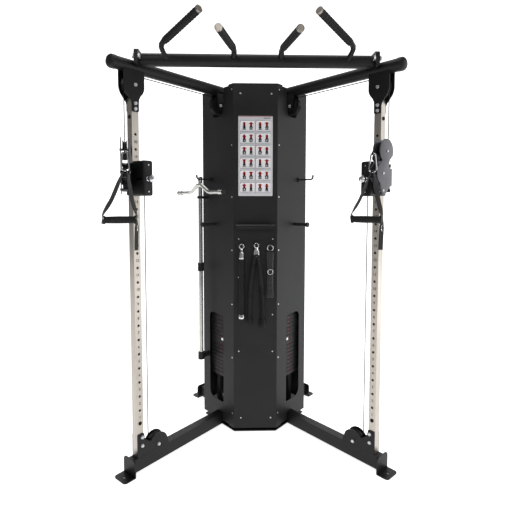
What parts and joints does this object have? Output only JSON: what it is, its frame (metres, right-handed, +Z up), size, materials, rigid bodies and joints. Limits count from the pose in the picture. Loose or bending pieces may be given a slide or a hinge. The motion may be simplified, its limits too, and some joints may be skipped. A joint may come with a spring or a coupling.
{
  "type": "cable crossover machine",
  "caption": "Two-sided cable crossover machine: central weight tower, splayed arms, height-adjustable swivel pulley carriages, D-handles, pull-up bar and stored accessories.",
  "frame": {"origin": "centre of the bounding box in plan, at floor level", "axes": "+Z up, the machine's front faces -Y, +X is to the right for someone looking at the front"},
  "size_m": [1.4666, 1.2452, 2.2741],
  "materials": {
    "black_powder": "satin black powder coat",
    "satin_panel": "satin charcoal powder coat on sheet steel",
    "grey_plate": "satin grey powder coat",
    "brushed_tube": "brushed, warm silver",
    "chrome": "polished",
    "cast_weight": "painted black, slightly rough",
    "nylon_wheel": "moulded nylon",
    "black_cord": "plastic jacket over steel cable",
    "rubber": "moulded, matte",
    "webbing": "woven nylon webbing",
    "chart_card": "printed plastic sheet",
    "machine_plastic": "moulded, fine texture"
  },
  "bodies": {
    "frame": {"tower_frame": "black_powder", "front_cover": "satin_panel", "side_panel_left": "satin_panel", "side_panel_right": "satin_panel", "rear_cover": "satin_panel", "accessory_board": "satin_panel", "exercise_chart": "chart_card", "crossbar": "black_powder", "guide_rods": "chrome", "arm_left": "black_powder", "leg_left": "black_powder", "upright_left": "brushed_tube", "lower_stack_left": "cast_weight", "cable_upper_run_left": "black_cord", "cable_lower_run_left": "black_cord", "cable_arm_run_left": "black_cord", "cable_lift_loop_left": "black_cord", "cable_base_run_left": "black_cord", "arm_right": "black_powder", "leg_right": "black_powder", "upright_right": "brushed_tube", "lower_stack_right": "cast_weight", "cable_upper_run_right": "black_cord", "cable_lower_run_right": "black_cord", "cable_arm_run_right": "black_cord", "cable_lift_loop_right": "black_cord", "cable_base_run_right": "black_cord"},
    "carriage_left": {"carriage_left": "machine_plastic"},
    "pop_pin_left": {"pop_pin_left": "chrome"},
    "swivel_left": {"swivel_bracket_left": "grey_plate", "cable_end_left": "rubber"},
    "upper_guide_left": {"upper_guide_pulley_left": "nylon_wheel"},
    "lower_guide_left": {"lower_guide_pulley_left": "nylon_wheel"},
    "handle_left": {"carabiner_left": "chrome", "handle_webbing_left": "webbing", "handle_grip_left": "rubber"},
    "stack_left": {"lifted_stack_left": "cast_weight"},
    "selector_left": {"selector_pin_left": "chrome"},
    "top_wheel_left": {"top_pulley_left": "nylon_wheel"},
    "bottom_wheel_left": {"bottom_pulley_left": "nylon_wheel"},
    "tower_wheel_left": {"tower_pulley_left": "nylon_wheel"},
    "carriage_right": {"carriage_right": "machine_plastic"},
    "pop_pin_right": {"pop_pin_right": "chrome"},
    "swivel_right": {"swivel_bracket_right": "grey_plate", "cable_end_right": "rubber"},
    "upper_guide_right": {"upper_guide_pulley_right": "nylon_wheel"},
    "lower_guide_right": {"lower_guide_pulley_right": "nylon_wheel"},
    "handle_right": {"carabiner_right": "chrome", "handle_webbing_right": "webbing", "handle_grip_right": "rubber"},
    "stack_right": {"lifted_stack_right": "cast_weight"},
    "selector_right": {"selector_pin_right": "chrome"},
    "top_wheel_right": {"top_pulley_right": "nylon_wheel"},
    "bottom_wheel_right": {"bottom_pulley_right": "nylon_wheel"},
    "tower_wheel_right": {"tower_pulley_right": "nylon_wheel"},
    "lat_bar": {"lat_bar": "chrome"},
    "curved_bar": {"curved_bar": "chrome"},
    "short_bar": {"short_bar": "machine_plastic"},
    "rope": {"triceps_rope": "rubber"},
    "ankle_strap": {"ankle_strap": "webbing"}
  },
  "joints": [
    {"name": "carriage_slide_left", "type": "slide", "parent": "frame", "child": "carriage_left", "axis": [0, 0, 1], "range_m": [-1.125, 0.15], "deforming": ["cable_upper_run_left", "cable_lower_run_left"]},
    {"name": "pop_pin_pull_left", "type": "slide", "parent": "carriage_left", "child": "pop_pin_left", "axis": [0.7547, -0.6561, 0], "range_m": [0, 0.018], "stiffness_N_per_m": 900, "springref_m": -0.006},
    {"name": "swivel_turn_left", "type": "hinge", "parent": "carriage_left", "child": "swivel_left", "pos_m": [-0.6588, -0.34609, 1.54], "axis": [0, 0, 1], "range_deg": [-76.6, 33.4]},
    {"name": "upper_guide_spin_left", "type": "hinge", "parent": "swivel_left", "child": "upper_guide_left", "pos_m": [-0.64751, -0.38654, 1.672], "axis": [-0.9632, -0.2689, 0], "continuous": true},
    {"name": "lower_guide_spin_left", "type": "hinge", "parent": "swivel_left", "child": "lower_guide_left", "pos_m": [-0.63863, -0.41833, 1.562], "axis": [-0.9632, -0.2689, 0], "continuous": true},
    {"name": "handle_swing_left", "type": "hinge", "parent": "swivel_left", "child": "handle_left", "pos_m": [-0.62223, -0.47708, 1.6565], "axis": [0.9632, 0.2689, 0], "range_deg": [-60, 0]},
    {"name": "stack_lift_left", "type": "slide", "parent": "frame", "child": "stack_left", "axis": [0, 0, 1], "range_m": [0, 1.045], "deforming": ["cable_lift_loop_left"]},
    {"name": "selector_pull_left", "type": "slide", "parent": "stack_left", "child": "selector_left", "axis": [-0.7547, -0.6561, 0], "range_m": [0, 0.12]},
    {"name": "top_wheel_spin_left", "type": "hinge", "parent": "frame", "child": "top_wheel_left", "pos_m": [-0.626, -0.30835, 2], "axis": [0.7547, -0.6561, 0], "continuous": true},
    {"name": "tower_wheel_spin_left", "type": "hinge", "parent": "frame", "child": "tower_wheel_left", "pos_m": [-0.23013, 0.14704, 2], "axis": [0.7547, -0.6561, 0], "continuous": true},
    {"name": "bottom_wheel_spin_left", "type": "hinge", "parent": "frame", "child": "bottom_wheel_left", "pos_m": [-0.55187, -0.22307, 0.104], "axis": [0.7547, -0.6561, 0], "continuous": true},
    {"name": "carriage_slide_right", "type": "slide", "parent": "frame", "child": "carriage_right", "axis": [0, 0, 1], "range_m": [-1.125, 0.15], "deforming": ["cable_upper_run_right", "cable_lower_run_right"]},
    {"name": "pop_pin_pull_right", "type": "slide", "parent": "carriage_right", "child": "pop_pin_right", "axis": [-0.7547, -0.6561, 0], "range_m": [0, 0.018], "stiffness_N_per_m": 900, "springref_m": -0.006},
    {"name": "swivel_turn_right", "type": "hinge", "parent": "carriage_right", "child": "swivel_right", "pos_m": [0.6588, -0.34609, 1.54], "axis": [0, 0, 1], "range_deg": [0, 110]},
    {"name": "upper_guide_spin_right", "type": "hinge", "parent": "swivel_right", "child": "upper_guide_right", "pos_m": [0.6271, -0.37364, 1.672], "axis": [0.6561, -0.7547, 0], "continuous": true},
    {"name": "lower_guide_spin_right", "type": "hinge", "parent": "swivel_right", "child": "lower_guide_right", "pos_m": [0.6022, -0.39529, 1.562], "axis": [0.6561, -0.7547, 0], "continuous": true},
    {"name": "handle_swing_right", "type": "hinge", "parent": "swivel_right", "child": "handle_right", "pos_m": [0.55616, -0.43531, 1.6565], "axis": [0.8387, -0.5446, 0], "range_deg": [-60, 0]},
    {"name": "stack_lift_right", "type": "slide", "parent": "frame", "child": "stack_right", "axis": [0, 0, 1], "range_m": [0, 1.045], "deforming": ["cable_lift_loop_right"]},
    {"name": "selector_pull_right", "type": "slide", "parent": "stack_right", "child": "selector_right", "axis": [0.7547, -0.6561, 0], "range_m": [0, 0.12]},
    {"name": "top_wheel_spin_right", "type": "hinge", "parent": "frame", "child": "top_wheel_right", "pos_m": [0.626, -0.30835, 2], "axis": [-0.7547, -0.6561, 0], "continuous": true},
    {"name": "tower_wheel_spin_right", "type": "hinge", "parent": "frame", "child": "tower_wheel_right", "pos_m": [0.23013, 0.14704, 2], "axis": [-0.7547, -0.6561, 0], "continuous": true},
    {"name": "bottom_wheel_spin_right", "type": "hinge", "parent": "frame", "child": "bottom_wheel_right", "pos_m": [0.55187, -0.22307, 0.104], "axis": [-0.7547, -0.6561, 0], "continuous": true},
    {"name": "lat_bar_lift", "type": "slide", "parent": "frame", "child": "lat_bar", "axis": [0, 0, 1], "range_m": [0, 0.15]},
    {"name": "curved_bar_swing", "type": "hinge", "parent": "frame", "child": "curved_bar", "pos_m": [-0.34252, 0.15904, 1.56], "axis": [0.7547, 0.6561, 0], "range_deg": [-8, 8]},
    {"name": "short_bar_swing", "type": "hinge", "parent": "frame", "child": "short_bar", "pos_m": [-0.082, 0.01855, 1.16], "axis": [0, 1, 0], "range_deg": [-0.5, 12]},
    {"name": "rope_swing", "type": "hinge", "parent": "frame", "child": "rope", "pos_m": [0.006, 0.01605, 1.166], "axis": [0, 1, 0], "range_deg": [-0.7, 0.7]},
    {"name": "ankle_strap_swing", "type": "hinge", "parent": "frame", "child": "ankle_strap", "pos_m": [0.088, 0.02005, 1.156], "axis": [0, 1, 0], "range_deg": [-12, 0.5]}
  ],
  "couplings": [
    {"joint": "top_wheel_spin_left", "follows": "stack_lift_left", "rad_per_m": 40},
    {"joint": "tower_wheel_spin_left", "follows": "stack_lift_left", "rad_per_m": 40},
    {"joint": "bottom_wheel_spin_left", "follows": "carriage_slide_left", "rad_per_m": -20},
    {"joint": "upper_guide_spin_left", "follows": "stack_lift_left", "rad_per_m": 47.619},
    {"joint": "top_wheel_spin_right", "follows": "stack_lift_right", "rad_per_m": -40},
    {"joint": "tower_wheel_spin_right", "follows": "stack_lift_right", "rad_per_m": -40},
    {"joint": "bottom_wheel_spin_right", "follows": "carriage_slide_right", "rad_per_m": 20},
    {"joint": "upper_guide_spin_right", "follows": "stack_lift_right", "rad_per_m": -47.619}
  ]
}
